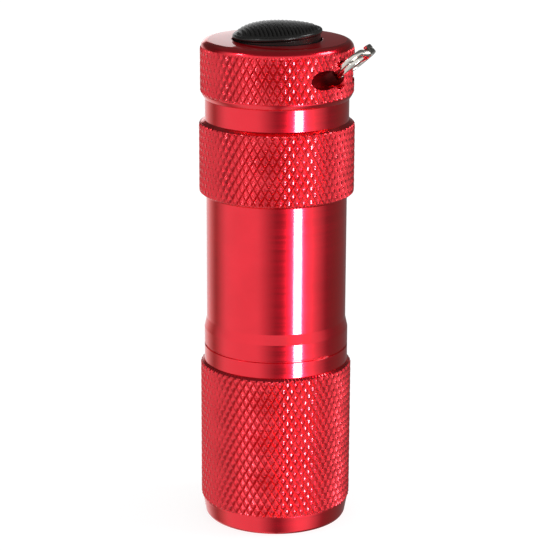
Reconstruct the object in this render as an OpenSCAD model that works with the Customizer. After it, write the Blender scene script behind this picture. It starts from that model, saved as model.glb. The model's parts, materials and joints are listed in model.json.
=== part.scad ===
// Pocket flashlight with a tail switch, standing on its bezel.
// Origin: centre of the flat bezel rim. +Z runs along the axis to the tail. Millimetres.

/* [Head] */
// Radius over the knurling of the head
head_r = 13.05; // [13:0.05:13.4]
// Height of the head, from the bezel rim to the end that meets the barrel
head_h = 28.25; // [28.25:0.25:30]
// Height of the smooth bezel below the knurling
bezel_h = 3.3; // [2.5:0.1:4.5]
// Outer radius of the bezel's flat rim
rim_r = 12.2; // [11.7:0.05:12.3]
// Radius of the window in front of the lens
window_r = 10.5; // [10:0.1:10.7]

/* [Barrel] */
// Radius of the plain barrel
barrel_r = 12.0; // [11.95:0.05:12.15]
// Radius of the collar that seats on the head
collar_r = 12.4; // [12.15:0.05:12.45]
// Radius of the neck under the tail cap
neck_r = 12.2; // [12.15:0.05:12.4]
// Height of the collar above the head
collar_h = 5.9; // [5:0.1:7]
// Height of the plain barrel between the collar's taper and the grip ring
waist_h = 21.85; // [21.85:0.05:23]
// Radius over the knurling of the grip ring
grip_r = 13.2; // [12.8:0.05:13.5]
// Height of the knurled grip ring with its two bevels
grip_h = 12.85; // [11:0.05:14]
// Height of the neck between the grip ring and the tail cap
neck_h = 3.7; // [3.5:0.1:4]

/* [Tail cap] */
// Radius over the knurling of the tail cap
cap_r = 13.0; // [12.95:0.05:13.4]
// Height of the tail cap above the neck
cap_h = 9.8; // [9.8:0.1:10.6]
// Radius of the rounded edge around the cap's polished end
cap_edge_r = 1.4; // [0.8:0.1:1.5]

/* [Button] */
// Radius of the rubber button where it leaves the cap
boot_r = 7.55; // [7:0.05:7.55]
// Height of the rubber button above the cap's polished end
boot_rise = 3.0; // [2.6:0.1:3.4]
// How far the button is pressed
button_travel = 1.2; // [0.6:0.1:1.2]

/* [Key ring] */
// Middle radius of the split ring's wire
ring_mid_r = 3.6; // [3.6:0.05:3.9]
// Radial width of the ring's wire
wire_w = 0.8; // [0.6:0.05:0.9]
// Thickness of one coil of the ring; it has two
wire_t = 0.85; // [0.6:0.05:0.9]
// How far the ring stands up from level
ring_tilt = 40.5; // [20:0.5:42]
// Direction of the lanyard hole's middle, as an angle about the axis from +X
hole_turn = -21; // [-60:1:60]
// Radius of the lanyard hole
hole_r = 1.6; // [1.5:0.05:1.7]
// Distance of the lanyard hole's centre line from the axis
hole_off = 11.0; // [10.9:0.05:11.1]

/* [Light] */
// Radius of the circle that the outer LEDs stand on
led_circle_r = 7.6; // [7.6:0.02:7.7]
// Radius of one LED's lens
led_r = 2.5; // [2.4:0.05:2.5]

/* [Battery carrier] */
// Radius of one cell with its wrap
cell_r = 5.05; // [4.9:0.05:5.1]
// Length of one cell, with its positive tip
cell_len = 44.5; // [44:0.1:44.5]
// Radius of the carrier's two end plates
carrier_r = 10.85; // [10.7:0.05:10.9]

/* [Hidden] */
// Number of LEDs around the middle one, and of cells in the carrier
outer_leds = 8;
CELLS = 3;
LEDS = [for (i = [1:outer_leds + 1]) str("led_", i)];
$fn = 96;

ANODISED = [0.78, 0.05, 0.09];
STEEL = [0.74, 0.74, 0.76];
BRASS = [0.82, 0.66, 0.32];
BLACK = [0.07, 0.07, 0.08];

// Radial clearance of a screwed joint, whose threads stand here as plain cylinders
thread_gap = 0.1;
// Small clearance between pieces that slide or drop into each other
slip = 0.05;

// Levels of the outside, from the bezel rim to the cap's polished end
z_collar = head_h;
z_taper = z_collar + collar_h;
taper_h = 1.75;
z_waist = z_taper + taper_h;
z_grip = z_waist + waist_h;
z_neck = z_grip + grip_h;
z_cap = z_neck + neck_h;
z_cap_end = z_cap + cap_h;
groove_z = z_collar + 2.75;
groove_h = 0.4;
groove_depth = 0.2;

// Screwed joints
head_thread_r = 11.72;
head_thread_z = 19.25;
cap_thread_r = 11.52;
cap_thread_h = 6;
relief_h = 0.95;
head_relief_r = 11.45;
cap_relief_r = 11.1;
seal_wire = 0.25;
cap_seal_wire = 0.3;
barrel_bore = 11.1;

// Optics, stacked from the front lip
pocket_r = 11.35;
lip_z = 1.2;
gasket_t = 0.5;
lens_t = 1.5;
z_lens = lip_z + gasket_t;
z_reflector = z_lens + lens_t;
plate_t = 5.2;
z_led = z_reflector + 0.7;
led_len = 8.6;
z_board = z_led + led_len;
board_t = 1.6;
z_board_back = z_board + board_t;
stack_r = pocket_r - slip;
led_flange_r = 2.9;
lead_r = 0.25;
lead_pitch = 2.54;

// Battery carrier
contact_t = 0.3;
front_contact_r = 5;
rear_contact_r = 7;
cell_plate_r = 3.6;
plate_h = 1.5;
strut_in_r = 7.6;
rod_r = 0.65;
z_pack = 16.1;
z_bay = z_pack + contact_t + plate_h;
cell_spring_h = 3.0;
bay_h = contact_t + cell_len + contact_t + cell_spring_h;
z_bay_end = z_bay + bay_h;
z_pack_end = z_bay_end + plate_h + contact_t;
cell_circle_r = (cell_r + 0.03) / sin(60);
wrap_t = 0.15;
tip_r = 1.9;
tip_h = 1.0;

// Tail switch, stacked down from the cap's roof
roof_t = 1.1;
cap_bore = 8.8;
spigot_bore = 10.2;
boot_hole_r = 7.62;
flange_t = 1.0;
z_roof = z_cap_end - roof_t;
z_flange = z_roof - flange_t;
washer_t = 0.8;
z_washer = z_flange - washer_t;
holder_h = 4.3;
z_holder = z_washer - holder_h;
retainer_h = 1.5;
z_retainer = z_holder - retainer_h;
terminal_t = 0.6;
z_terminal = z_holder - terminal_t;
insert_r = cap_bore - slip;
switch_w = 8.5;
stem_r = 1.8;
pad_top_z = z_cap_end + 1.0;
chamber_z = z_holder + 0.6;
z_stem_flange = chamber_z + button_travel + 0.4;

// Lanyard hole and split ring
hole_z = z_cap + 4.6;
pivot_off = hole_off - 0.15;
pivot_z = hole_z - 0.2;
slot_r = 1.15;
slot_off = 0.89 * ring_mid_r;
slot_low = hole_z - 0.85;
slot_high = hole_z + 1.75;

// ---------- shared shapes ----------

// A ring or, with no bore, a disc standing on z
module ring(r, bore, h, z = 0) {
    translate([0, 0, z]) difference() {
        cylinder(r = r, h = h);
        if (bore > 0) translate([0, 0, -1]) cylinder(r = bore, h = h + 2);
    }
}

// A coil of round wire, from radius r0 at its foot to r1 at its head, h high over the wire
module coil(r0, r1, wire_r, h, turns, steps = 18, sides = 6) {
    n = round(turns * steps);
    rise = h - 2 * wire_r;
    points = [
        for (i = [0:n], j = [0:sides - 1])
            let (t = i / n, a = 360 * turns * t, b = 360 * j / sides,
                 r = r0 + (r1 - r0) * t + wire_r * cos(b))
            [r * cos(a), r * sin(a), wire_r + rise * t + wire_r * sin(b)]
    ];
    walls = [
        for (i = [0:n - 1], j = [0:sides - 1])
            let (k = (j + 1) % sides, p = i * sides)
            each [[p + j, p + k, p + sides + j], [p + k, p + sides + k, p + sides + j]]
    ];
    ends = [
        for (j = [1:sides - 2])
            each [[0, j + 1, j], [n * sides, n * sides + j, n * sides + j + 1]]
    ];
    polyhedron(points = points, faces = concat(walls, ends));
}

// Places a child at the middle LED (i = 1) or at one of the outer ones
module at_led(i) {
    turn = (i - 2) * 360 / outer_leds;
    if (i == 1) children();
    else rotate([0, 0, turn]) translate([led_circle_r, 0, 0]) children();
}

// Places a child on the axis of cell i
module at_cell(i)
    rotate([0, 0, 90 + (i - 1) * 360 / CELLS]) translate([cell_circle_r, 0, 0]) children();

// The middle cell stands the other way up, so that the three join in series
module cell_way_up(i) {
    if (i == 2) translate([0, 0, 2 * z_bay + bay_h]) mirror([0, 0, 1]) children();
    else children();
}

// ---------- head ----------

module head_shell() {
    color(ANODISED) rotate_extrude() polygon([
        [window_r + 0.5, 0], [rim_r - 0.2, 0], [rim_r, 0.2], [head_r - 0.05, bezel_h - 0.1],
        [head_r, bezel_h], [head_r, head_h - 0.55], [head_r - 0.6, head_h],
        [head_thread_r + 0.31, head_h], [head_thread_r + 0.31, head_h - 0.75],
        [head_thread_r + thread_gap, head_h - 0.95], [head_thread_r + thread_gap, head_thread_z - 0.4],
        [pocket_r, head_thread_z - 0.85], [pocket_r, lip_z], [window_r, lip_z], [window_r, 0.5]
    ]);
}

module lens_gasket() color(BLACK) ring(stack_r, window_r + slip, gasket_t, lip_z);

module lens() color([0.9, 0.95, 1, 0.4]) ring(stack_r, 0, lens_t, z_lens);

// Cupped plate in front of the LEDs, on a skirt that rests on the board
module reflector() {
    color([0.85, 0.86, 0.88]) difference() {
        union() {
            ring(stack_r, 0, plate_t, z_reflector);
            ring(stack_r, stack_r - 0.7, z_board - z_reflector, z_reflector);
        }
        for (i = [1:outer_leds + 1]) at_led(i) {
            translate([0, 0, z_reflector - 1]) cylinder(r = led_r + slip, h = plate_t + 2);
            translate([0, 0, z_reflector - 0.01])
                cylinder(r1 = led_flange_r - 0.02, r2 = led_r + slip, h = 2.5);
        }
    }
}

// Round-nosed LED that faces the front, with its flange and two leads
module led(i) {
    color([0.92, 0.95, 1, 0.7]) at_led(i) {
        translate([0, 0, z_led + led_r]) intersection() {
            sphere(r = led_r);
            translate([0, 0, -led_r]) cylinder(r = led_r + 1, h = led_r);
        }
        translate([0, 0, z_led + led_r]) cylinder(r = led_r, h = led_len - led_r - 1);
        translate([0, 0, z_board - 1]) cylinder(r = led_flange_r, h = 1);
        for (s = [-1, 1]) translate([s * lead_pitch / 2, 0, z_board - 0.5])
            cylinder(r = lead_r, h = 0.5 + board_t + 0.8);
    }
}

module led_board() {
    color([0.9, 0.9, 0.86]) difference() {
        ring(stack_r, 0, board_t, z_board);
        for (i = [1:outer_leds + 1], s = [-1, 1]) at_led(i)
            translate([s * lead_pitch / 2, 0, z_board - 1])
                cylinder(r = lead_r + slip, h = board_t + 2);
    }
}

module solder_joints() {
    color(STEEL) for (i = [1:outer_leds + 1], s = [-1, 1]) at_led(i)
        translate([s * lead_pitch / 2, 0, z_board_back]) difference() {
            cylinder(r1 = 0.85, r2 = 0.45, h = 0.6);
            translate([0, 0, -1]) cylinder(r = lead_r + 0.02, h = 3);
        }
}

module board_spring()
    color(BRASS) translate([0, 0, z_board_back + 0.02])
        coil(4.3, 3.6, 0.3, z_pack - z_board_back - 0.06, 2.5);

module board_retainer() color(BRASS) ring(stack_r, 9.9, 1.9, z_board_back);

// ---------- battery carrier ----------

// Two end plates joined by three outer struts and a middle rod
module carrier_frame() {
    color(BLACK) {
        ring(carrier_r, 0, plate_h, z_pack + contact_t);
        ring(carrier_r, 0, plate_h, z_bay_end);
        translate([0, 0, z_bay]) cylinder(r = rod_r, h = bay_h);
        translate([0, 0, z_bay]) linear_extrude(bay_h) difference() {
            circle(carrier_r);
            circle(strut_in_r);
            for (i = [1:CELLS]) at_cell(i) circle(cell_r + 0.15);
        }
    }
}

module front_contact() color(BRASS) ring(front_contact_r, 0, contact_t, z_pack);

module rear_contact() color(BRASS) ring(rear_contact_r, 0, contact_t, z_pack_end - contact_t);

// A thin contact plate at both ends of each cell
module cell_plates() {
    color(BRASS) for (i = [1:CELLS], z = [z_bay, z_bay_end - contact_t])
        at_cell(i) ring(cell_plate_r, 0, contact_t, z);
}

module cell(i) {
    bottom = z_bay + contact_t + cell_spring_h;
    color(STEEL) at_cell(i) cell_way_up(i) translate([0, 0, bottom]) {
        cylinder(r = cell_r - wrap_t, h = cell_len - tip_h);
        cylinder(r = tip_r, h = cell_len);
    }
}

// Plastic sleeve around a cell
module cell_wrap(i) {
    bottom = z_bay + contact_t + cell_spring_h;
    color([0.16, 0.2, 0.24]) at_cell(i) cell_way_up(i)
        ring(cell_r, cell_r - wrap_t, cell_len - tip_h - 0.2, bottom + 0.1);
}

module cell_spring(i) {
    color(STEEL) at_cell(i) cell_way_up(i)
        translate([0, 0, z_bay + contact_t + 0.02]) coil(3.3, 1.8, 0.25, cell_spring_h - 0.04, 3.5);
}

// ---------- barrel ----------

module barrel_tube() {
    neck_bore = cap_thread_r + thread_gap;
    color(ANODISED) rotate_extrude() polygon([
        [barrel_bore, head_thread_z], [head_thread_r - 0.2, head_thread_z],
        [head_thread_r, head_thread_z + 0.2], [head_thread_r, z_collar - relief_h],
        [head_relief_r, z_collar - relief_h], [head_relief_r, z_collar],
        [collar_r - 0.1, z_collar], [collar_r, z_collar + 0.1], [collar_r, groove_z],
        [collar_r - groove_depth, groove_z + 0.05],
        [collar_r - groove_depth, groove_z + groove_h - 0.05],
        [collar_r, groove_z + groove_h], [collar_r, z_taper],
        [barrel_r + 0.05, z_taper + taper_h - 0.05], [barrel_r, z_taper + taper_h],
        [barrel_r, z_grip], [barrel_r + 0.3, z_grip], [grip_r, z_grip + 0.55],
        [grip_r, z_neck - 0.7], [neck_r, z_neck], [neck_r, z_cap - 0.1], [neck_r - 0.1, z_cap],
        [cap_thread_r + 0.26, z_cap], [cap_thread_r + 0.26, z_cap - 0.95], [neck_bore, z_cap - 1.1],
        [neck_bore, z_cap - cap_thread_h - 0.3], [barrel_bore, z_cap - cap_thread_h - 0.3]
    ]);
}

module o_ring(mid_r, wire_r, z)
    color(BLACK) translate([0, 0, z]) rotate_extrude() translate([mid_r, 0]) circle(wire_r);

module barrel_o_ring() o_ring(head_relief_r + 0.04 + seal_wire, seal_wire, z_collar - 0.45);

module cap_o_ring() o_ring(cap_relief_r + 0.04 + cap_seal_wire, cap_seal_wire, z_cap - 0.5);

module tail_spring()
    color(STEEL) translate([0, 0, z_pack_end + 0.03])
        coil(4.6, 2.1, 0.35, z_terminal - z_pack_end - 0.06, 5);

// ---------- tail cap ----------

// Turns a child to the lanyard hole's middle, with X outwards and Y along the hole
module at_hole() rotate([0, 0, hole_turn]) children();

// Upright slot at each end of the lanyard hole, where the ring's wire swings through the wall
module swing_slots() {
    at_hole() for (s = [-1, 1]) translate([pivot_off - 0.25, s * slot_off, 0]) rotate([90, 0, 90])
        linear_extrude(cap_r) {
            for (z = [slot_low, slot_high]) translate([0, z]) circle(slot_r);
            translate([-slot_r, slot_low]) square([2 * slot_r, slot_high - slot_low]);
        }
}

module tail_cap() {
    color(ANODISED) difference() {
        rotate_extrude() difference() {
            union() {
                polygon([
                    [0, z_cap - cap_thread_h], [cap_thread_r - 0.2, z_cap - cap_thread_h],
                    [cap_thread_r, z_cap - cap_thread_h + 0.2], [cap_thread_r, z_cap - relief_h],
                    [cap_relief_r, z_cap - relief_h], [cap_relief_r, z_cap],
                    [neck_r + 0.1, z_cap], [cap_r, z_cap + 0.95], [cap_r, z_cap_end - cap_edge_r],
                    [cap_r - cap_edge_r, z_cap_end], [0, z_cap_end]
                ]);
                translate([cap_r - cap_edge_r, z_cap_end - cap_edge_r]) circle(cap_edge_r);
            }
            square([spigot_bore, z_retainer - 0.1]);
            square([cap_bore, z_roof]);
            square([boot_hole_r, z_cap_end + 1]);
        }
        at_hole() translate([hole_off, 0, hole_z]) rotate([90, 0, 0])
            cylinder(r = hole_r, h = 4 * cap_r, center = true);
        swing_slots();
    }
}

module switch_retainer() color(BRASS) ring(insert_r, 5.5, retainer_h, z_retainer);

module switch_terminal() color(BRASS) ring(2.6, 0, terminal_t, z_terminal);

module switch_holder() {
    color(BLACK) difference() {
        ring(insert_r, 0, holder_h, z_holder);
        translate([0, 0, z_holder + holder_h / 2])
            cube([switch_w + 2 * slip, switch_w + 2 * slip, holder_h + 2], center = true);
    }
}

// Square switch with the chamber that its stem slides in
module switch_body() {
    color([0.82, 0.82, 0.8]) difference() {
        translate([-switch_w / 2, -switch_w / 2, z_holder]) cube([switch_w, switch_w, holder_h - 0.1]);
        translate([0, 0, chamber_z]) cylinder(r = 3.2, h = holder_h - 1.4);
        translate([0, 0, z_holder + 1]) cylinder(r = stem_r + slip, h = holder_h);
    }
}

module boot_washer() color(BLACK) ring(insert_r, 5, washer_t, z_washer);

// ---------- button ----------

// Rubber dome with a rolled rim, and the flange that the cap's roof clamps
module rubber_boot() {
    rim_z = z_cap_end + boot_rise - 1.85;
    crown_h = 1.85;
    foot_r = boot_r - 0.22;
    crown_r = (foot_r * foot_r + crown_h * crown_h) / (2 * crown_h);
    color(BLACK) rotate_extrude() difference() {
        union() {
            translate([0, z_flange]) square([insert_r, flange_t]);
            translate([0, z_flange]) square([boot_r, rim_z - 0.35 - z_flange]);
            translate([0, z_flange]) square([boot_r - 0.35, rim_z - z_flange]);
            translate([boot_r - 0.35, rim_z - 0.35]) circle(0.35);
            intersection() {
                translate([0, rim_z + crown_h - crown_r]) circle(crown_r);
                translate([0, rim_z - 0.1]) square([foot_r, crown_h + 1]);
            }
        }
        translate([-1, z_flange - 1]) square([7.2, pad_top_z - z_flange + 1.05]);
        translate([-20, z_flange - 40]) square([20, 80]);
    }
}

module switch_plunger() {
    color([0.85, 0.1, 0.1]) {
        ring(2.9, 0, 0.8, z_stem_flange);
        ring(stem_r, 0, pad_top_z - z_stem_flange, z_stem_flange);
        ring(4, 0, 1.1, pad_top_z - 1.1);
    }
}

module switch_spring()
    color(STEEL) translate([0, 0, chamber_z + 0.02])
        coil(2.7, 2.2, 0.15, z_stem_flange - chamber_z - 0.04, 2.5);

// ---------- key ring ----------

// Two flat coils side by side, with a groove where they meet
module split_ring() {
    color(STEEL) at_hole() translate([pivot_off, 0, pivot_z]) rotate([0, -ring_tilt, 0])
        translate([ring_mid_r, 0, 0]) rotate_extrude() difference() {
            translate([ring_mid_r - wire_w / 2, -wire_t]) square([wire_w, 2 * wire_t]);
            for (s = [-1, 1]) translate([ring_mid_r + s * wire_w / 2, 0])
                rotate(45) square(0.2, center = true);
        }
}

// ---------- the nodes ----------

head_shell();
lens_gasket();
lens();
reflector();
for (i = [1:outer_leds + 1]) led(i);
led_board();
solder_joints();
board_spring();
board_retainer();
carrier_frame();
front_contact();
rear_contact();
cell_plates();
for (i = [1:CELLS]) cell(i);
for (i = [1:CELLS]) cell_wrap(i);
for (i = [1:CELLS]) cell_spring(i);
barrel_tube();
barrel_o_ring();
cap_o_ring();
tail_spring();
tail_cap();
switch_retainer();
switch_terminal();
switch_holder();
switch_body();
boot_washer();
rubber_boot();
switch_plunger();
switch_spring();
split_ring();
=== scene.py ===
"""Pocket flashlight: knurled red anodised body, ribbed rubber tail switch and a small split ring.

Shapes are written in millimetres in the CAD's own frame, Z up the axis from the bezel rim, and finish_mesh()
scales them to metres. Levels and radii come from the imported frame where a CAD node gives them.
"""

import json
import math

import bpy
import numpy as np
from mathutils import Matrix, Vector

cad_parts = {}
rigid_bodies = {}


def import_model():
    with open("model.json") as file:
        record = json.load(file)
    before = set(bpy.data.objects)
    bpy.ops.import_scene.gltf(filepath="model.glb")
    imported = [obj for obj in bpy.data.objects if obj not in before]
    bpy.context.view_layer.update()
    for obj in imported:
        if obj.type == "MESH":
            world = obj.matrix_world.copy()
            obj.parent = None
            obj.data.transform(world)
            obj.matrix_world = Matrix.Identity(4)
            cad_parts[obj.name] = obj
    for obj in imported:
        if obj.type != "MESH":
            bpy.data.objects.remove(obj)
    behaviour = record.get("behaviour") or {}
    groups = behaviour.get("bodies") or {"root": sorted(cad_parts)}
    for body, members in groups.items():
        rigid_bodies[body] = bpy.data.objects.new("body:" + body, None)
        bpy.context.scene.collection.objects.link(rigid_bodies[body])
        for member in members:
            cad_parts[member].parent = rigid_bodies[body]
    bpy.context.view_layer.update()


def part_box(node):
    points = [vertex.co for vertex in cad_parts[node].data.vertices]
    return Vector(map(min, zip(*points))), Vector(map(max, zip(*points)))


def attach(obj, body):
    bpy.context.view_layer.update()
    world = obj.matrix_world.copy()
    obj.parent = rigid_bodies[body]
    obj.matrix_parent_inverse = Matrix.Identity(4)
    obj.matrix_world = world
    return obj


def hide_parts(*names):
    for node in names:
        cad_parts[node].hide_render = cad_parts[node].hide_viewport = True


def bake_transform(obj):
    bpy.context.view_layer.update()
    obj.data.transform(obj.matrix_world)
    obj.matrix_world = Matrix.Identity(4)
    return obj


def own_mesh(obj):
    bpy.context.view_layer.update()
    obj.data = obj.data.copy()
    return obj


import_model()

MM = 0.001
TAU = 2 * math.pi


# ---------- sizes, in mm ----------


def low(node):
    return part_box(node)[0].z / MM


def top(node):
    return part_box(node)[1].z / MM


def radius(node):
    return (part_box(node)[1].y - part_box(node)[0].y) / 2 / MM


def middle(node):
    lo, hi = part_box(node)
    return (lo.x + hi.x) / 2 / MM, (lo.y + hi.y) / 2 / MM


# Head: over the knurl, the bezel's flat rim, the window, and the pocket that holds the optics
HEAD_R, HEAD_H = radius("head_shell"), top("head_shell")
BEZEL_H, RIM_R, WINDOW_R = 3.3, 12.2, 10.5
POCKET_R, LIP_Z = 11.35, 1.2

# Barrel: levels from the head upwards, and its radii
Z_TAPER = HEAD_H + 5.9
Z_WAIST = Z_TAPER + 1.75
Z_CAP = top("barrel_tube")
Z_NECK = Z_CAP - 3.7
Z_GRIP = Z_NECK - 12.85
BARREL_R, COLLAR_R, NECK_R, BORE_R = 12.0, 12.4, 12.2, 11.1
GRIP_R = radius("barrel_tube")
GROOVE_Z, GROOVE_H, GROOVE_DEPTH = HEAD_H + 2.75, 0.4, 0.22

# Tail cap: over the knurl, its rounded edge, and the bores from the spigot to the boot's hole
CAP_R, CAP_END = radius("tail_cap"), top("tail_cap")
EDGE_R, ROOF_Z, RETAINER_Z = 1.4, CAP_END - 1.1, low("switch_retainer") - 0.1
SPIGOT_BORE, CAP_BORE, BOOT_HOLE_R = 10.2, 8.8, 7.62


# ---------- mesh helpers ----------

# Angles in degrees above which an edge is sharp, on plain pieces and on the knurled ones
COARSE, FINE = 34, 18


def finish_mesh(name, vertices, faces, material, sharp=COARSE):
    """Object from points in mm and faces, smooth except where faces meet at more than sharp degrees."""
    mesh = bpy.data.meshes.new(name)
    mesh.from_pydata((np.asarray(vertices) * MM).tolist(), [], faces)
    mesh.validate()
    mesh.shade_smooth()
    mesh.set_sharp_from_angle(angle=math.radians(sharp))
    mesh.materials.append(material)
    obj = bpy.data.objects.new(name, mesh)
    bpy.context.scene.collection.objects.link(obj)
    return obj


def ring_faces(rows, columns, loop, height=None):
    """Quads between rows of points that close round. One that isn't flat is cut along its valley."""
    index = np.arange(rows * columns).reshape(rows, columns)
    above = np.roll(index, -1, axis=0)
    count = rows if loop else rows - 1
    a, b = index[:count], np.roll(index, -1, axis=1)[:count]
    d, c = above[:count], np.roll(above, -1, axis=1)[:count]
    quads = np.stack([a, b, c, d], axis=-1).reshape(-1, 4)
    if height is None:
        return quads.tolist()
    h = height.reshape(-1)[quads]
    first, second = h[:, 0] + h[:, 2], h[:, 1] + h[:, 3]
    flat = np.abs(first - second) < 1e-6
    along = (first < second) & ~flat
    across = ~along & ~flat
    faces = quads[flat].tolist()
    for chosen, corners in ((along, ([0, 1, 2], [0, 2, 3])), (across, ([0, 1, 3], [1, 2, 3]))):
        for three in corners:
            faces += quads[chosen][:, three].tolist()
    return faces


# A straight side longer than LONG gets one more point, HOLD from a rounded corner, so that it shades flat
LONG, HOLD = 1.2, 0.05


def soften(points, steps=3):
    """Points of an outline, with each corner that has a third number rounded to about that radius."""
    out = []
    for i, point in enumerate(points):
        if len(point) == 2 or i in (0, len(points) - 1):
            out.append(tuple(point[:2]))
            continue
        corner = Vector(point[:2])
        before, after = Vector(points[i - 1][:2]) - corner, Vector(points[i + 1][:2]) - corner
        half = before.angle(after) / 2
        cut = min(point[2] / math.tan(half), 0.48 * before.length, 0.48 * after.length)
        start, end = corner + before.normalized() * cut, corner + after.normalized() * cut
        if before.length > LONG:
            out.append(tuple(start + before.normalized() * HOLD))
        for k in range(steps + 1):
            t = k / steps
            out.append(tuple((1 - t) ** 2 * start + 2 * t * (1 - t) * corner + t * t * end))
        if after.length > LONG:
            out.append(tuple(end + after.normalized() * HOLD))
    return out


def arc(x, y, r, start, end, steps=10):
    """Outline points on a bend of radius r about (x, y), from one angle to another in degrees."""
    turn = np.radians(np.linspace(start, end, steps + 1))
    return [(x + r * math.cos(a), y + r * math.sin(a)) for a in turn]


def lathe(name, parts, material, columns=128, loop=True, sharp=COARSE):
    """Solid of revolution. A part is a run of (radius, z) points, or rings from knurl() or thread()."""
    rows = []
    for part in parts:
        if isinstance(part, np.ndarray):
            rows += list(part)
        else:
            rows += [np.tile(point, (columns, 1)) for point in soften(part)]
    rows = np.array(rows, float)
    turn = np.arange(columns) * TAU / columns
    r, z = rows[..., 0], rows[..., 1]
    points = np.stack([r * np.cos(turn), r * np.sin(turn), z], axis=-1).reshape(-1, 3)
    faces = ring_faces(len(rows), columns, loop, r)
    if not loop:
        faces += [list(range(columns))[::-1], list(range((len(rows) - 1) * columns, len(rows) * columns))]
    return finish_mesh(name, points, faces, material, sharp)


# One 30 degree diamond knurl, the same on the head, the grip ring and the cap: its starts, the height of a
# diamond, and the steps of its grid each way in one
STARTS = 62
PERIOD = TAU * HEAD_R / STARTS / math.tan(math.radians(30))
STEPS = 8
COLUMNS = STARTS * STEPS
# Its depth, the share of it that is flat, how far the flats are crowned, and how much the depth wanders
KNURL_DEPTH, FLAT, CROWNING, WANDER = 0.27, 0.5, 0.045, 0.03


def knurl(r, z0, z1, bevels):
    """Rings of the knurl. A bevel is a cone turned over it: where it starts, its radius there, its slope."""
    u = np.arange(COLUMNS) / STEPS
    step = PERIOD / STEPS
    z = z0 + step * np.arange(int((z1 - z0) / step) + 1)
    z = np.append(z[z < z1 - 0.3 * step], z1)
    z = np.unique(np.round(np.append(z, [bevel[0] for bevel in bevels]), 4))
    z = z[(z >= z0) & (z <= z1)]
    v = (z - z0)[:, None] / PERIOD
    right, left = (u + v) % 1, (u - v) % 1
    groove = np.maximum(np.abs(2 * right - 1), np.abs(2 * left - 1))
    cut = np.clip((groove - FLAT) / (1 - FLAT), 0, 1)
    wander = WANDER * np.sin(u * TAU / STARTS * 5 + 1) * np.sin(z[:, None] * 0.9 + 2)
    surface = r - (KNURL_DEPTH + wander) * cut - CROWNING * np.minimum(groove / FLAT, 1) ** 2
    for bevel_z, bevel_r, slope in bevels:
        beyond = np.maximum(0, (z - bevel_z) * math.copysign(1, slope))
        surface = np.minimum(surface, (bevel_r - beyond * abs(slope))[:, None])
    return np.stack([surface, np.broadcast_to(z[:, None], surface.shape)], axis=-1)


# A screw thread's pitch and the length that it fades out over, and the shares of a pitch that its crest and
# each of its flanks take
PITCH, FADE = 1.0, 0.6
CREST, FLANK = 0.26, 0.2


def thread(z0, z1, root, crest, columns, shift=0.0):
    """Rings of a helical thread between its root's and its crest's radius, shifted by a share of a turn.
    An inside thread, whose crest is the smaller radius, has its rings from z1 down to z0."""
    turns = np.arange(columns) / columns
    profile = [(0, 1), (CREST, 1), (CREST + FLANK, 0), (1 - FLANK, 0)]
    rows = [(np.full(columns, root), np.full(columns, z0))]
    for k in range(-1, int((z1 - z0) / PITCH) + 3):
        for mark, level in profile:
            z = np.clip(z0 + (k + shift + mark + turns - 1) * PITCH, z0, z1)
            if np.ptp(z) > 1e-9:
                fade = np.clip(np.minimum(z - z0, z1 - z) / FADE, 0, 1)
                rows.append((root + (crest - root) * level * fade, z))
    rows.append((np.full(columns, root), np.full(columns, z1)))
    rows = np.swapaxes(np.array(rows), 1, 2)
    return rows if crest > root else rows[::-1]


def tube_along(name, path, section, material, tilt=None):
    """Closed tube of a (sideways, upright) section swept along path, with its ends filled."""
    path = np.asarray(path, float)
    ahead = np.gradient(path, axis=0)
    ahead /= np.linalg.norm(ahead, axis=1)[:, None]
    up = np.tile([0.0, 0.0, 1.0], (len(path), 1)) if tilt is None else tilt
    side = np.cross(ahead, up)
    side /= np.linalg.norm(side, axis=1)[:, None]
    up = np.cross(side, ahead)
    section = np.asarray(section)
    rings = path[:, None] + section[None, :, :1] * side[:, None] + section[None, :, 1:] * up[:, None]
    count = len(section)
    faces = ring_faces(len(path), count, False)
    faces += [list(range(count))[::-1], list(range((len(path) - 1) * count, len(path) * count))]
    return finish_mesh(name, rings.reshape(-1, 3), faces, material, 40)


def circle(r, sides):
    return np.array(arc(0, 0, r, 0, 360, sides)[:-1])


def shift(obj, x, y, turn=0.0):
    """Moves a mesh built about the Z axis to its place."""
    obj.data.transform(Matrix.Translation((x * MM, y * MM, 0)) @ Matrix.Rotation(turn, 4, "Z"))
    return obj


def join(obj, other):
    """Adds the other mesh to obj as one piece."""
    bpy.ops.object.select_all(action="DESELECT")
    for each in (obj, other):
        each.select_set(True)
    bpy.context.view_layer.objects.active = obj
    bpy.ops.object.join()


def cut_away(obj, *cutters):
    """Takes the cutters' shapes out of obj, and removes them."""
    for cutter in cutters:
        tool = obj.modifiers.new("cut", "BOOLEAN")
        tool.operation = "DIFFERENCE"
        tool.solver = "EXACT"
        tool.object = cutter
    bpy.context.view_layer.update()
    cut = bpy.data.meshes.new_from_object(obj.evaluated_get(bpy.context.evaluated_depsgraph_get()))
    obj.modifiers.clear()
    obj.data = cut
    cut.shade_smooth()
    cut.set_sharp_from_angle(angle=math.radians(FINE))
    for cutter in cutters:
        bpy.data.objects.remove(cutter)


def place(obj, body, slot, *nodes):
    """The piece rides on a body and stands for these CAD nodes, which it hides. The slot is not used."""
    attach(obj, body)
    if nodes:
        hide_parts(*nodes)
    return obj


# ---------- materials ----------


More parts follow.
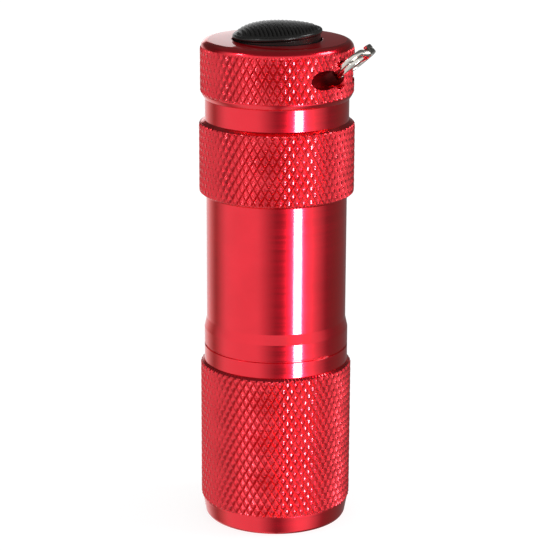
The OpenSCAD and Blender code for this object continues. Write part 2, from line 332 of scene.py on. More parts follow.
class Paint:
    """A material under construction: its node tree, its shader and the object's own coordinates."""

    def __init__(self, name, **values):
        self.material = bpy.data.materials.new(name)
        self.material.use_nodes = True
        self.tree = self.material.node_tree
        self.shader = self.tree.nodes["Principled BSDF"]
        for key, value in values.items():
            self.shader.inputs[key.replace("_", " ")].default_value = value
        self.place = self.tree.nodes.new("ShaderNodeTexCoord").outputs["Object"]

    def node(self, kind, inputs=(), **settings):
        made = self.tree.nodes.new("ShaderNode" + kind)
        for key, value in settings.items():
            setattr(made, key, value)
        for key, value in dict(inputs).items():
            if isinstance(value, bpy.types.NodeSocket):
                self.tree.links.new(value, made.inputs[key])
            else:
                made.inputs[key].default_value = value
        return made

    def noise(self, size, stretch=(1, 1, 1), detail=3.0, roughness=0.5):
        """Noise with features of about size mm, drawn out by stretch."""
        scale = [1 / (size * MM * s) for s in stretch]
        moved = self.node("Mapping", {"Vector": self.place, "Scale": scale})
        inputs = {"Vector": moved.outputs[0], "Scale": 1.0, "Detail": detail, "Roughness": roughness}
        return self.node("TexNoise", inputs).outputs[0]

    def spread(self, value, start, end, lowest=0.0, highest=1.0):
        """Value from start to end, mapped to a share from lowest to highest."""
        inputs = {0: value, 1: start, 2: end, 3: lowest, 4: highest}
        return self.node("MapRange", inputs).outputs[0]

    def blend(self, share, first, second):
        mix = self.node("Mix", {0: share}, data_type="RGBA")
        mix.inputs[6].default_value = (*first, 1)
        mix.inputs[7].default_value = (*second, 1)
        return mix.outputs[2]

    def link(self, output, name):
        self.tree.links.new(output, self.shader.inputs[name])

    def bump(self, height, strength, distance):
        """Surface relief of distance mm."""
        inputs = {"Strength": strength, "Distance": distance * MM, "Height": height}
        if self.shader.inputs["Normal"].is_linked:
            inputs["Normal"] = self.shader.inputs["Normal"].links[0].from_socket
        self.link(self.node("Bump", inputs).outputs[0], "Normal")


def anodised_red(name="anodised_red", satin=0.2, gloss=0.1, shade_darkening=1.0, coat=1.0):
    """Dyed anodic layer on turned aluminium: a clear hard skin over a satin red metal. Its darkening factor
    scales both reds down; below 1 it is painted shade, on the darker copies below.
    """
    paint = Paint(name, Metallic=1.0, Coat_Weight=coat, Coat_Roughness=gloss, Coat_IOR=1.47)
    paint.shader.inputs["Specular Tint"].default_value = (0.75, 0.045, 0.05, 1)
    tones = (0.76, 0.003, 0.019), (0.84, 0.006, 0.025)
    cloud = paint.noise(9, detail=4)
    # Both tones are scaled by the darkening factor: painted shade where it is below 1.
    tone = paint.blend(paint.spread(cloud, 0.35, 0.65), *[[shade_darkening * c for c in tone] for tone in tones])
    paint.link(tone, "Base Color")
    turning = paint.noise(0.35, (60, 60, 1), detail=2)
    paint.link(paint.spread(turning, 0.3, 0.7, satin, satin + 0.07), "Roughness")
    paint.bump(turning, 0.25, 0.0015)
    return paint.material


def rubber(name, tone, roughness, grain, shine):
    """Dark rubber with a fine grain and an uneven sheen."""
    paint = Paint(name, Specular_IOR_Level=shine)
    paint.link(paint.blend(paint.noise(2.0), [0.75 * c for c in tone], tone), "Base Color")
    fine = paint.noise(grain, detail=4)
    paint.link(paint.spread(fine, 0.3, 0.7, roughness - 0.06, roughness + 0.06), "Roughness")
    paint.bump(fine, 0.35, 0.02)
    return paint.material


def plastic(name, tone, roughness=0.38):
    """Moulded plastic with a faint texture."""
    paint = Paint(name, Specular_IOR_Level=0.5)
    paint.link(paint.blend(paint.noise(3.0), [0.88 * c for c in tone], tone), "Base Color")
    fine = paint.noise(0.25, detail=3)
    paint.link(paint.spread(fine, 0.3, 0.7, roughness - 0.05, roughness + 0.07), "Roughness")
    paint.bump(fine, 0.2, 0.008)
    return paint.material


def clear(name, tone, ior):
    """Clear plastic or resin, with a slight haze in places."""
    paint = Paint(name, Transmission_Weight=1.0, IOR=ior)
    paint.link(paint.blend(paint.noise(6.0), [0.985 * c for c in tone], tone), "Base Color")
    paint.link(paint.spread(paint.noise(1.5), 0.3, 0.7, 0.01, 0.03), "Roughness")
    return paint.material


def metal(name, tone, dark, roughness, grain=(0.3, (1, 1, 1)), relief=0.002):
    """Plain or plated metal with fine marks of size and stretch grain."""
    paint = Paint(name, Metallic=1.0)
    paint.link(paint.blend(paint.spread(paint.noise(2.5, detail=5), 0.35, 0.65), dark, tone), "Base Color")
    marks = paint.noise(grain[0], grain[1], detail=3)
    paint.link(paint.spread(marks, 0.3, 0.7, roughness - 0.04, roughness + 0.08), "Roughness")
    paint.bump(marks, 0.3, relief)
    return paint.material


def circuit_board():
    """White solder mask over glass cloth, with the weave just showing."""
    paint = Paint("board_mask", Specular_IOR_Level=0.5)
    weave = paint.node("TexChecker", {"Vector": paint.place, "Scale": 1 / (0.5 * MM)}).outputs[1]
    tone = paint.blend(paint.spread(paint.noise(1.2), 0.3, 0.7), (0.70, 0.70, 0.64), (0.80, 0.80, 0.75))
    paint.link(tone, "Base Color")
    paint.link(paint.spread(paint.noise(0.6), 0.3, 0.7, 0.28, 0.42), "Roughness")
    paint.bump(weave, 0.15, 0.01)
    return paint.material


RED = anodised_red()
# Knurl flanks: rougher, and a darker red that is painted shade in the grooves.
FLANK_RED_SHADED = anodised_red("anodised_red_flank_painted_shade", 0.25, 0.28, 0.8)
# Cap's end face: glossier, and a slightly darker red that is painted shade on the top face.
POLISHED_RED_SHADED = anodised_red("anodised_red_polished_painted_shade", 0.34, 0.03, 0.9)
# Lanyard hole's wall: duller, with less coat, and a much darker red that is painted shade inside the hole.
DRILLED_RED_SHADED = anodised_red("anodised_red_drilled_painted_shade", 0.35, 0.3, 0.45, 0.3)
BOOT = rubber("boot_rubber", (0.008, 0.0077, 0.0073), 0.27, 0.12, 0.36)
SEAL = rubber("seal_rubber", (0.012, 0.012, 0.013), 0.5, 0.2, 0.45)
CARRIER = plastic("carrier_plastic", (0.018, 0.018, 0.02))
SWITCH_WHITE = plastic("switch_white", (0.68, 0.68, 0.64), 0.42)
SWITCH_RED = plastic("switch_stem", (0.55, 0.03, 0.03), 0.35)
LENS = clear("lens_clear", (0.98, 0.99, 1.0), 1.49)
EPOXY = clear("led_epoxy", (0.93, 0.96, 1.0), 1.54)
CHROME = metal("reflector_plated", (0.86, 0.86, 0.88), (0.80, 0.80, 0.82), 0.09)
BOARD = circuit_board()
SOLDER = metal("solder", (0.72, 0.72, 0.74), (0.55, 0.55, 0.57), 0.28, (0.4, (1, 1, 1)), 0.01)
BRASS = metal("brass", (0.86, 0.66, 0.30), (0.72, 0.52, 0.2), 0.22, (0.15, (8, 1, 1)))
STEEL = metal("spring_steel", (0.62, 0.61, 0.60), (0.48, 0.47, 0.46), 0.22, (0.12, (1, 1, 6)))
NICKEL = metal("ring_nickel", (0.74, 0.71, 0.66), (0.60, 0.57, 0.52), 0.09, (0.2, (1, 1, 1)))
CAN = metal("cell_can", (0.70, 0.70, 0.71), (0.58, 0.58, 0.60), 0.25, (0.1, (1, 1, 12)))
LED_METAL = metal("led_frame", (0.88, 0.87, 0.84), (0.75, 0.74, 0.71), 0.18)
SLEEVE = plastic("cell_sleeve", (0.05, 0.06, 0.075), 0.25)
BAND = plastic("cell_band", (0.42, 0.43, 0.45), 0.25)
PHOSPHOR = plastic("led_phosphor", (0.85, 0.72, 0.12), 0.5)


# ---------- the red body ----------

# Screwed joints: each thread's root and crest radius, the shifts that make the two mesh, the levels that the
# threads start at, and the height of the relief at a thread's mouth
HEAD_OUTSIDE, HEAD_INSIDE = (11.5, 11.95), (12.05, 11.6)
CAP_OUTSIDE, CAP_INSIDE = (11.32, 11.7), (11.82, 11.42)
OUTSIDE_SHIFT, INSIDE_SHIFT = 0.54, 0.04
HEAD_THREAD_Z, CAP_THREAD_Z = 19.25, Z_CAP - 6
RELIEF_H = 0.95

# The knurl's sides face round the axis by more than this much, and lie less than this far below its crests
SIDEWAYS, DEEPEST = 0.25, 0.6


def dull_and_shade_flanks(obj):
    """Gives the sides of the knurl's diamonds their duller finish, and a darker red that is painted shade in
    the knurl's grooves.
    """
    obj.data.materials.append(FLANK_RED_SHADED)
    count = len(obj.data.polygons)
    normal, centre = np.empty(3 * count), np.empty(3 * count)
    obj.data.polygons.foreach_get("normal", normal)
    obj.data.polygons.foreach_get("center", centre)
    normal, centre = normal.reshape(-1, 3), centre.reshape(-1, 3)
    r = np.hypot(centre[:, 0], centre[:, 1])
    sideways = np.abs(normal[:, 1] * centre[:, 0] - normal[:, 0] * centre[:, 1]) / np.maximum(r, MM)
    flanks = (sideways > SIDEWAYS) & (r > (HEAD_R - DEEPEST) * MM)
    obj.data.polygons.foreach_set("material_index", flanks.astype(np.int32))


def head():
    """Front shell: the bezel and its lip, the knurled sleeve and the thread inside it."""
    root, foot = HEAD_INSIDE[0], HEAD_THREAD_Z - 0.4
    bezel = [(WINDOW_R + 0.45, 0.05), (WINDOW_R + 0.6, 0), (RIM_R - 0.15, 0, 0.12), (RIM_R + 0.1, 0.4, 0.4)]
    bezel += [(HEAD_R - 0.32, BEZEL_H - 0.55, 0.4), (HEAD_R - 0.2, BEZEL_H - 0.12), (HEAD_R - 0.2, BEZEL_H)]
    bevels = [(HEAD_H - 0.55, HEAD_R, 0.6 / 0.55), (BEZEL_H + 0.3, HEAD_R, -0.6)]
    sleeve = knurl(HEAD_R, BEZEL_H, HEAD_H - 0.02, bevels)
    mouth = [(HEAD_R - 0.62, HEAD_H), (root, HEAD_H), (root - 0.02, HEAD_H - 0.02)]
    mouth += [(root - 0.02, HEAD_H - RELIEF_H + 0.25)]
    inner = thread(foot, HEAD_H - RELIEF_H, *HEAD_INSIDE, COLUMNS, INSIDE_SHIFT)
    pocket = [(root, foot), (POCKET_R, foot - 0.45), (POCKET_R, LIP_Z), (WINDOW_R, LIP_Z, 0.15)]
    pocket += [(WINDOW_R, 0.55, 0.2), (WINDOW_R + 0.4, 0.1)]
    shell = lathe("head_knurled", [bezel, sleeve, mouth, inner, pocket], RED, COLUMNS, sharp=FINE)
    dull_and_shade_flanks(shell)
    return place(shell, "head", "anodised_red", "head_shell")


def barrel():
    """Tube with the collar that seats on the head, the knurled grip ring and the neck under the cap."""
    foot, root, seat = HEAD_THREAD_Z, HEAD_OUTSIDE[0], HEAD_H - RELIEF_H
    start = [(BORE_R, foot), (root - 0.25, foot, 0.05), (root, foot + 0.2)]
    outer = thread(foot + 0.2, seat, *HEAD_OUTSIDE, COLUMNS, OUTSIDE_SHIFT)
    collar = [(root - 0.05, seat + 0.02), (root - 0.05, HEAD_H)]
    collar += [(COLLAR_R - 0.12, HEAD_H, 0.02), (COLLAR_R, HEAD_H + 0.12)]
    collar += [(COLLAR_R, GROOVE_Z, 0.04), (COLLAR_R - GROOVE_DEPTH, GROOVE_Z + 0.07, 0.04)]
    collar += [(COLLAR_R - GROOVE_DEPTH, GROOVE_Z + GROOVE_H - 0.07, 0.04)]
    collar += [(COLLAR_R, GROOVE_Z + GROOVE_H, 0.04)]
    waist = [(COLLAR_R, Z_TAPER, 0.15), (BARREL_R, Z_WAIST, 0.15), (BARREL_R, Z_GRIP, 0.05)]
    waist += [(BARREL_R + 0.3, Z_GRIP, 0.05)]
    bevels = [(Z_NECK - 0.7, GRIP_R, 0.9 / 0.7), (Z_GRIP + 0.55, GRIP_R, -0.8 / 0.55)]
    sleeve = knurl(GRIP_R, Z_GRIP + 0.02, Z_NECK - 0.02, bevels)
    neck = [(NECK_R, Z_NECK, 0.05), (NECK_R, Z_CAP, 0.12), (11.78, Z_CAP), (11.78, Z_CAP - 0.9)]
    neck += [(CAP_INSIDE[0], Z_CAP - 1.0)]
    inner = thread(CAP_THREAD_Z - 0.3, Z_CAP - 1.1, *CAP_INSIDE, COLUMNS, INSIDE_SHIFT)
    bore = [(BORE_R + 0.1, CAP_THREAD_Z - 0.32, 0.05), (BORE_R, CAP_THREAD_Z - 0.5)]
    parts = [start, outer, collar + waist, sleeve, neck, inner, bore]
    tube = lathe("barrel_knurled", parts, RED, COLUMNS, sharp=FINE)
    dull_and_shade_flanks(tube)
    return place(tube, "barrel", "anodised_red", "barrel_tube")


# Lanyard hole across the cap's wall, and the slots at its mouths that the ring swings in
HOLE_TURN = math.radians(-21)
HOLE_R, HOLE_OFF, HOLE_Z = 1.6, 11.0, Z_CAP + 4.6
PIVOT_OFF, PIVOT_Z = HOLE_OFF - 0.15, HOLE_Z - 0.2
RING_MID_R, RING_TILT = 3.6, math.radians(40.5)
# Its wire's width, thickness and corner radius, and where its two ends are and how far they leave it free
WIRE_W, WIRE_T, WIRE_ROUND = 0.8, 0.85, 0.2
RING_START, RING_GAP = math.radians(-30), math.radians(15)
SLOT_R, SLOT_LOW, SLOT_HIGH, SLOT_OFF = 1.15, HOLE_Z - 0.85, HOLE_Z + 1.75, 0.89 * RING_MID_R

OUT = np.array([math.cos(HOLE_TURN), math.sin(HOLE_TURN), 0.0])
ALONG = np.array([-math.sin(HOLE_TURN), math.cos(HOLE_TURN), 0.0])
UP = np.array([0.0, 0.0, 1.0])


def prism(name, outline, start, end, right, up):
    """Closed prism of an outline, given in the right and up directions, from point start to point end."""
    outline = np.asarray(outline)
    rings = [point + outline[:, :1] * right + outline[:, 1:] * up for point in (start, end)]
    count = len(outline)
    faces = ring_faces(2, count, False) + [list(range(count))[::-1], list(range(count, 2 * count))]
    obj = finish_mesh(name, np.concatenate(rings), faces, RED)
    if np.dot(np.cross(right, up), end - start) < 0:
        obj.data.flip_normals()
    return obj


def hole_cutters():
    """The lanyard hole, and an upright slot with round ends at each of its mouths."""
    centre = OUT * HOLE_OFF + UP * HOLE_Z
    cutters = [prism("hole", circle(HOLE_R, 64), centre + 20 * ALONG, centre - 20 * ALONG, OUT, UP)]
    slot = arc(0, SLOT_HIGH, SLOT_R, 0, 180, 32) + arc(0, SLOT_LOW, SLOT_R, 180, 360, 32)
    for side in (-1, 1):
        start = OUT * (PIVOT_OFF - 0.25) + ALONG * side * SLOT_OFF
        cutters.append(prism("slot", slot, start, start + CAP_R * OUT, ALONG, UP))
    return cutters


def cap():
    """Tail cap: knurled sleeve, rounded edge, polished end with the boot's hole, and threaded spigot."""
    foot, root = CAP_THREAD_Z, CAP_OUTSIDE[0]
    start = [(SPIGOT_BORE, foot + 0.1), (SPIGOT_BORE + 0.1, foot), (root - 0.15, foot, 0.05)]
    start += [(root, foot + 0.2)]
    outer = thread(foot + 0.2, Z_CAP - RELIEF_H, *CAP_OUTSIDE, COLUMNS, OUTSIDE_SHIFT)
    skirt = [(11.1, Z_CAP - 0.93), (11.1, Z_CAP), (NECK_R + 0.1, Z_CAP, 0.08)]
    skirt += [(CAP_R - 0.25, Z_CAP + 0.72, 0.1), (CAP_R - 0.22, Z_CAP + 0.9)]
    bevels = [(Z_CAP + 1.2, CAP_R, -0.7), (CAP_END - 1.35, CAP_R, 0.75)]
    sleeve = knurl(CAP_R, Z_CAP + 0.95, CAP_END - 1.05, bevels)
    end = arc(CAP_R - 0.1 - EDGE_R, CAP_END - EDGE_R, EDGE_R, 15, 90)
    end += [(BOOT_HOLE_R, CAP_END, 0.05), (BOOT_HOLE_R, ROOF_Z, 0.05), (CAP_BORE, ROOF_Z, 0.05)]
    end += [(CAP_BORE, RETAINER_Z), (SPIGOT_BORE, RETAINER_Z, 0.05)]
    shell = lathe("cap_knurled", [start, outer, skirt, sleeve, end], RED, COLUMNS, sharp=FINE)
    cut_away(shell, *hole_cutters())
    dull_and_shade_flanks(shell)
    finish_and_shade_cap(shell)
    return place(shell, "tail_cap", "anodised_red", "tail_cap")


def finish_and_shade_cap(shell):
    """Gives the cap's flat end its polish and the lanyard hole its dull drilled wall; both take darker reds,
    painted shade on the end face and inside the hole.
    """
    polished_shaded, drilled_shaded = len(shell.data.materials), len(shell.data.materials) + 1
    shell.data.materials.append(POLISHED_RED_SHADED)
    shell.data.materials.append(DRILLED_RED_SHADED)
    for face in shell.data.polygons:
        spot = np.array(face.center) / MM
        from_hole = math.hypot(spot @ OUT - HOLE_OFF, spot[2] - HOLE_Z)
        if spot[2] > CAP_END - 0.02:
            # The end face's darker red is painted shade.
            face.material_index = polished_shaded
        elif from_hole < HOLE_R + 0.02:
            # The hole's wall takes the much darker red: painted shade inside the hole.
            face.material_index = drilled_shaded


# ---------- button ----------

# Outside the boot: its wall, which is necked above the cap's roof, and the rolled bead round its rim
BOOT_R, NECK_IN, FLANGE_R = 7.45, 0.2, 8.75
RIM_Z, BEAD_R = CAP_END + 1.45, 0.45
# Inside the boot: its bore, the pad's recess, and the level of the recess
BOOT_BORE, RECESS_R, RECESS_Z = 7.0, 6.2, CAP_END + 1.05
# The crown, and the straight ribs across it
CROWN_R, CROWN_H = 7.1, 1.3
RIB_PITCH, RIB_H, RIB_TURN = 0.65, 0.42, math.radians(11)
RIB_STEPS = 8
# The rubber sits a little askew in its hole: its rise per mm towards +X, and what the crown lacks of it
LEAN, SLUMP = 0.067, 0.085


def boot_wall():
    """The boot's flange, necked wall and bead, turned in one."""
    foot, neck_r = ROOF_Z - 1.0, BOOT_R - NECK_IN
    wall = [(BOOT_BORE, foot), (FLANGE_R, foot, 0.1), (FLANGE_R, ROOF_Z - 0.02, 0.1)]
    wall += [(BOOT_R - 0.02, ROOF_Z - 0.02), (BOOT_R - 0.02, ROOF_Z + 0.3, 0.1)]
    wall += [(neck_r, ROOF_Z + 0.6, 0.1), (neck_r, RIM_Z - 2 * BEAD_R, 0.1)]
    wall += arc(BOOT_R + 0.1 - BEAD_R, RIM_Z - BEAD_R, BEAD_R, -60, 110)
    wall += [(CROWN_R - 0.9, RIM_Z - 0.15), (RECESS_R, RECESS_Z), (BOOT_BORE, CAP_END)]
    return lathe("boot_ribbed", [wall], BOOT, 160)


def boot_crown():
    """Closed sheet of a dome with ribs across it, on a grid that runs along the ribs."""
    across = np.linspace(-1, 1, int(2 * CROWN_R / RIB_PITCH * RIB_STEPS) + 1)[1:-1] * CROWN_R
    along = np.sin(np.linspace(-1, 1, 33) * math.pi / 2)
    s, t = np.meshgrid(across, along, indexing="ij")
    t = t * np.sqrt(CROWN_R**2 - s**2)
    x = s * math.cos(RIB_TURN) - t * math.sin(RIB_TURN)
    y = s * math.sin(RIB_TURN) + t * math.cos(RIB_TURN)
    out = np.hypot(s, t) / CROWN_R
    dome = CROWN_H * (0.6 * (1 - out**2) + 0.4 * (1 - out**6)) - SLUMP * x * (1 - out**2)
    edge = np.clip((1 - out) / 0.07, 0, 1)
    rib = RIB_H * (np.abs(np.sin(s * math.pi / RIB_PITCH)) ** 0.8 - 0.6) * edge
    upper = RIM_Z - 0.05 + dome + rib
    under = np.minimum(upper - 0.02, RECESS_Z - 0.01 + dome * 0.5)
    points = np.concatenate([np.stack([x, y, z], axis=-1).reshape(-1, 3) for z in (upper, under)])
    return finish_mesh("crown", points, sheet_faces(*s.shape), BOOT, 60)


def sheet_faces(rows, columns):
    """Quads of a grid, of the same grid under it, and of the rim between them."""
    index = np.arange(rows * columns).reshape(rows, columns)
    corners = index[:-1, :-1], index[1:, :-1], index[1:, 1:], index[:-1, 1:]
    above = np.stack(corners, axis=-1).reshape(-1, 4)
    below = above[:, ::-1] + rows * columns
    rim = np.concatenate([index[:, 0], index[-1, 1:], index[-2::-1, -1], index[0, -2:0:-1]])
    after = np.roll(rim, -1)
    side = np.stack([after, rim, rim + rows * columns, after + rows * columns], axis=-1)
    return np.concatenate([above, below, side]).tolist()


def boot():
    """Rubber boot: its wall from below the cap's roof up to the bead, and the ribbed crown, leaned a little
    askew.
    """
    shell = boot_wall()
    join(shell, boot_crown())
    for vertex in shell.data.vertices:
        height = (vertex.co.z / MM - ROOF_Z) / (RIM_Z - 2 * BEAD_R - ROOF_Z)
        vertex.co.z += LEAN * vertex.co.x * min(max(height, 0), 1)
    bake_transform(shell)
    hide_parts("rubber_boot")


# ---------- split ring ----------


def split_ring():
    """Two turns of flattened wire that step past each other beside their two ends."""
    away = OUT * math.cos(RING_TILT) + UP * math.sin(RING_TILT)
    normal = np.cross(away, ALONG)
    centre = OUT * PIVOT_OFF + UP * PIVOT_Z + RING_MID_R * away
    turn = np.linspace(RING_GAP, 2 * TAU - RING_GAP, 241)
    step = np.clip((turn - TAU + 0.8 * RING_GAP) / (1.6 * RING_GAP), 0, 1)
    lift = (0.5 - step * step * (3 - 2 * step)) * WIRE_T
    angle = (turn + RING_START)[:, None]
    path = centre + RING_MID_R * (np.cos(angle) * away + np.sin(angle) * ALONG) + lift[:, None] * normal
    w, t = WIRE_W / 2 - 0.01 - WIRE_ROUND, WIRE_T / 2 - 0.015 - WIRE_ROUND
    section = []
    for corner, (x, y) in enumerate([(w, t), (-w, t), (-w, -t), (w, -t)]):
        section += arc(x, y, WIRE_ROUND, 90 * corner, 90 * corner + 90, 4)
    wire = tube_along("ring_wire", path, section, NICKEL, np.tile(normal, (len(path), 1)))
    return place(wire, "key_ring", "ring_nickel", "split_ring")


# ---------- springs ----------


def spring(node, body, wire_r, r_low, r_high, turns):
    """Coil spring with a closed part of a turn at each end, in the place of a CAD coil."""
    closed = 0.7
    turned = np.linspace(0, turns + 2 * closed, int((turns + 2 * closed) * 40))
    rise = np.clip((turned - closed) / turns, 0, 1)
    z = low(node) + wire_r + (top(node) - low(node) - 2 * wire_r) * rise
    r = r_low + (r_high - r_low) * rise
    angle = TAU * turned
    x, y = middle(node)
    path = np.stack([x + r * np.cos(angle), y + r * np.sin(angle), z], axis=-1)
    coil = tube_along(node + "_wire", path, circle(wire_r, 12), STEEL)
    return place(coil, body, "spring_steel", node)


def springs():
    spring("board_spring", "head", 0.3, 4.3, 3.6, 1.5)
    spring("tail_spring", "tail_seal", 0.35, 4.5, 2.1, 4)
    for i in CELLS:
        ends = (1.8, 3.25) if i == UPSIDE_DOWN else (3.25, 1.8)
        spring(f"cell_spring_{i}", "battery_pack", 0.25, *ends, 2.5)
    button = spring("switch_spring", "button", 0.15, 2.7, 2.2, 1.5)
    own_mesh(button)


# ---------- optics ----------

LED_NODES = [f"led_{i}" for i in range(1, 10)]
LED_R, LED_FLANGE_R, LEAD_PITCH = 2.5, 2.9, 2.54
PLATE_H, SKIRT_T = 5.2, 0.7
# Radius of an outline's end beside the axis, where a solid of revolution is closed by a small disc
CORE = 0.02


def lens():
    r, z0, z1 = radius("lens"), low("lens"), top("lens")
    rim = [(CORE, z0), (r - 0.2, z0, 0.05), (r, z0 + 0.2, 0.05), (r, z1 - 0.2, 0.05)]
    rim += [(r - 0.2, z1, 0.05), (CORE, z1)]
    disc = lathe("lens_disc", [rim], LENS, 160, loop=False)
    return place(disc, "head", "lens_clear", "lens")


def reflector():
    """Plated plate with a cup round each LED, on a skirt that stands on the board."""
    r, z0, z1 = radius("reflector"), low("reflector"), top("reflector")
    back = z0 + PLATE_H
    body = [(CORE, z0), (r - 0.15, z0, 0.05), (r, z0 + 0.15), (r, z1), (r - SKIRT_T, z1, 0.05)]
    body += [(r - SKIRT_T, back, 0.3), (CORE, back)]
    plate = lathe("reflector_plate", [body], CHROME, 160, loop=False)
    cup = [(CORE, z0 - 0.5), (2.885, z0 - 0.5), (2.87, z0), (2.76, z0 + 0.6), (2.66, z0 + 1.3)]
    cup += [(2.58, z0 + 2.2), (2.55, z0 + 2.8), (2.55, back + 0.5), (CORE, back + 0.5)]
    cups = [shift(lathe("cup", [cup], CHROME, 64, loop=False), *middle(node)) for node in LED_NODES]
    cut_away(plate, *cups)
    return place(plate, "head", "reflector_plated", "reflector")


def box_points(x0, x1, y0, y1, z0, z1):
    return [(x, y, z) for z in (z0, z1) for x, y in ((x0, y0), (x1, y0), (x1, y1), (x0, y1))]


BOX_FACES = [[3, 2, 1, 0], [4, 5, 6, 7], [0, 1, 5, 4], [1, 2, 6, 5], [2, 3, 7, 6], [3, 0, 4, 7]]


def boxes(name, corners, material):
    """Several boxes as one mesh. Each is eight points, the foot's four and then the head's."""
    points, faces = [], []
    for eight in corners:
        faces += [[k + len(points) for k in face] for face in BOX_FACES]
        points += eight
    return finish_mesh(name, points, faces, material)


# Inside an LED: how far its cup is from the nose, half a lead's width, and the cup's place beside the axis
DIE_DEPTH, PIN, CUP_X = 4.0, 0.22, -0.35


def led_leads(node, cup_z):
    """Two leads, one of them with a flag and the other with the cup for the die."""
    half = LEAD_PITCH / 2
    pins = [box_points(s * half - PIN, s * half + PIN, -PIN, PIN, cup_z + 1.2, top(node)) for s in (-1, 1)]
    flag = box_points(half - 1.0, half + PIN, -0.2, 0.2, cup_z + 1.2, cup_z + 2.6)
    post = box_points(-half - PIN, -half + 0.7, -0.2, 0.2, cup_z + 1.0, cup_z + 1.9)
    leads = boxes(node + "_leads", pins + [flag, post], LED_METAL)
    cup = [(CORE, cup_z + 0.45), (0.4, cup_z + 0.45), (0.8, cup_z, 0.05), (0.95, cup_z)]
    cup += [(0.75, cup_z + 1.2, 0.1), (CORE, cup_z + 1.2)]
    join(leads, shift(lathe(node + "_cup", [cup], LED_METAL, 32, loop=False), CUP_X, 0))
    return leads


def led(node, turn):
    """Round-nosed LED: epoxy body with a flange, and inside it the leads and the die."""
    z0, board = low(node), low("led_board")
    cup_z = z0 + DIE_DEPTH
    angles = np.linspace(0.01, math.pi / 2, 20)
    nose = [(LED_R * math.sin(a), z0 + LED_R * (1 - math.cos(a))) for a in angles]
    side = [(LED_R, board - 1.0), (LED_FLANGE_R, board - 1.0, 0.08), (LED_FLANGE_R, board, 0.08)]
    body = lathe(node + "_epoxy", [nose + side + [(CORE, board)]], EPOXY, 64, loop=False)
    place(shift(body, *middle(node), turn), "head", "led_epoxy", node)
    place(shift(led_leads(node, cup_z), *middle(node), turn), "head", "led_epoxy")
    die = [(CORE, cup_z + 0.02), (0.5, cup_z + 0.05), (0.76, cup_z + 0.1), (0.4, cup_z + 0.43)]
    die += [(CORE, cup_z + 0.43)]
    glow = shift(lathe(node + "_die", [die], PHOSPHOR, 32, loop=False), CUP_X, 0)
    place(shift(glow, *middle(node), turn), "head", "led_epoxy")


def leds():
    for i, node in enumerate(LED_NODES):
        led(node, 0 if i == 0 else (i - 1) * TAU / 8)


# ---------- cells ----------

CELLS = (1, 2, 3)
UPSIDE_DOWN = 2
BAND_H = 9


def can_outline(r, z0, z1):
    """Steel can with a crimped shoulder and a stepped tip."""
    shoulder = z1 - 1.05
    foot = [(CORE, z0), (r - 1.0, z0, 0.1), (r - 0.8, z0 + 0.25, 0.2), (r, z0 + 0.25, 0.3)]
    crimp = [(r, shoulder - 0.3, 0.25), (r - 0.7, shoulder, 0.2), (2.9, shoulder, 0.1)]
    crimp += [(2.7, shoulder - 0.2, 0.1), (1.9, shoulder, 0.1)]
    return foot + crimp + [(1.85, z1 - 0.1), (1.7, z1, 0.1), (CORE, z1)]


def sleeve_outline(r, z0, z1):
    """Shrunk plastic sleeve, turned in over the can's two ends."""
    lip, inside = r - 0.9, r - 0.15
    outer = [(lip, z0 - 0.03), (r - 0.3, z0, 0.2), (r, z0 + 0.25, 0.2), (r, z1 - 0.3, 0.2), (lip, z1 + 0.02)]
    return outer + [(lip, z1 - 0.06), (inside, z1 - 0.35, 0.1), (inside, z0 + 0.3, 0.1), (lip, z0 + 0.04)]


def cell(i):
    """AAA cell in its sleeve, whose band is round the tip's end."""
    node, wrap = f"cell_{i}", f"cell_wrap_{i}"
    z0, z1, r = low(node), top(node), radius(wrap)
    w0, w1 = low(wrap), top(wrap)
    over = Matrix.Translation((0, 0, (z0 + z1) * MM)) @ Matrix.Rotation(math.pi, 4, "X")
    if i == UPSIDE_DOWN:
        w0, w1 = z0 + z1 - w1, z0 + z1 - w0
    can = lathe(node + "_can", [can_outline(r - 0.17, z0, z1)], CAN, 96, loop=False)
    sleeve = lathe(wrap + "_sleeve", [sleeve_outline(r, w0, w1)], SLEEVE, 96)
    sleeve.data.materials.append(BAND)
    for face in sleeve.data.polygons:
        face.material_index = int(face.center.z > (w1 - BAND_H) * MM)
    for piece in (can, sleeve):
        if i == UPSIDE_DOWN:
            piece.data.transform(over)
        shift(piece, *middle(node))
    place(can, "battery_pack", "cell_can", node)
    place(sleeve, "battery_pack", "cell_sleeve", wrap)


# ---------- pieces that keep their CAD shape ----------


def paint_cad():
    """Gives each shown CAD node its material."""
    finishes = {
        SEAL: ["lens_gasket", "barrel_o_ring", "cap_o_ring"],
        BOARD: ["led_board"],
        SOLDER: ["solder_joints"],
        BRASS: ["board_retainer", "front_contact", "rear_contact", "cell_plates"]
        + ["switch_retainer", "switch_terminal"],
        CARRIER: ["carrier_frame", "switch_holder", "boot_washer"],
        SWITCH_WHITE: ["switch_body"],
        SWITCH_RED: ["switch_plunger"],
    }
    for material, nodes in finishes.items():
        for node in nodes:
            bpy.data.objects[node].data.materials.clear()
            bpy.data.objects[node].data.materials.append(material)


head()
barrel()
cap()
boot()
split_ring()
springs()
lens()
reflector()
leds()
for number in CELLS:
    cell(number)
paint_cad()


# ---------- camera, floor and light ----------

AIM = Vector((-0.12, 0, 42.97)) * MM
DISTANCE, ELEVATION = 360.5 * MM, math.radians(15.73)
FOCAL, SENSOR = 136.5, 36.0
ROLL = math.radians(0.27)


def camera():
    data = bpy.data.cameras.new("camera")
    data.lens, data.sensor_width = FOCAL, SENSOR
    data.clip_start, data.clip_end = 0.01, 50
    obj = bpy.data.objects.new("camera", data)
    bpy.context.scene.collection.objects.link(obj)
    back = Vector((0, -math.cos(ELEVATION), math.sin(ELEVATION)))
    obj.location = AIM + back * DISTANCE
    turn = (-back).to_track_quat("-Z", "Y").to_matrix().to_4x4()
    obj.rotation_euler = (turn @ Matrix.Rotation(ROLL, 4, "Z")).to_euler()
    bpy.context.scene.camera = obj


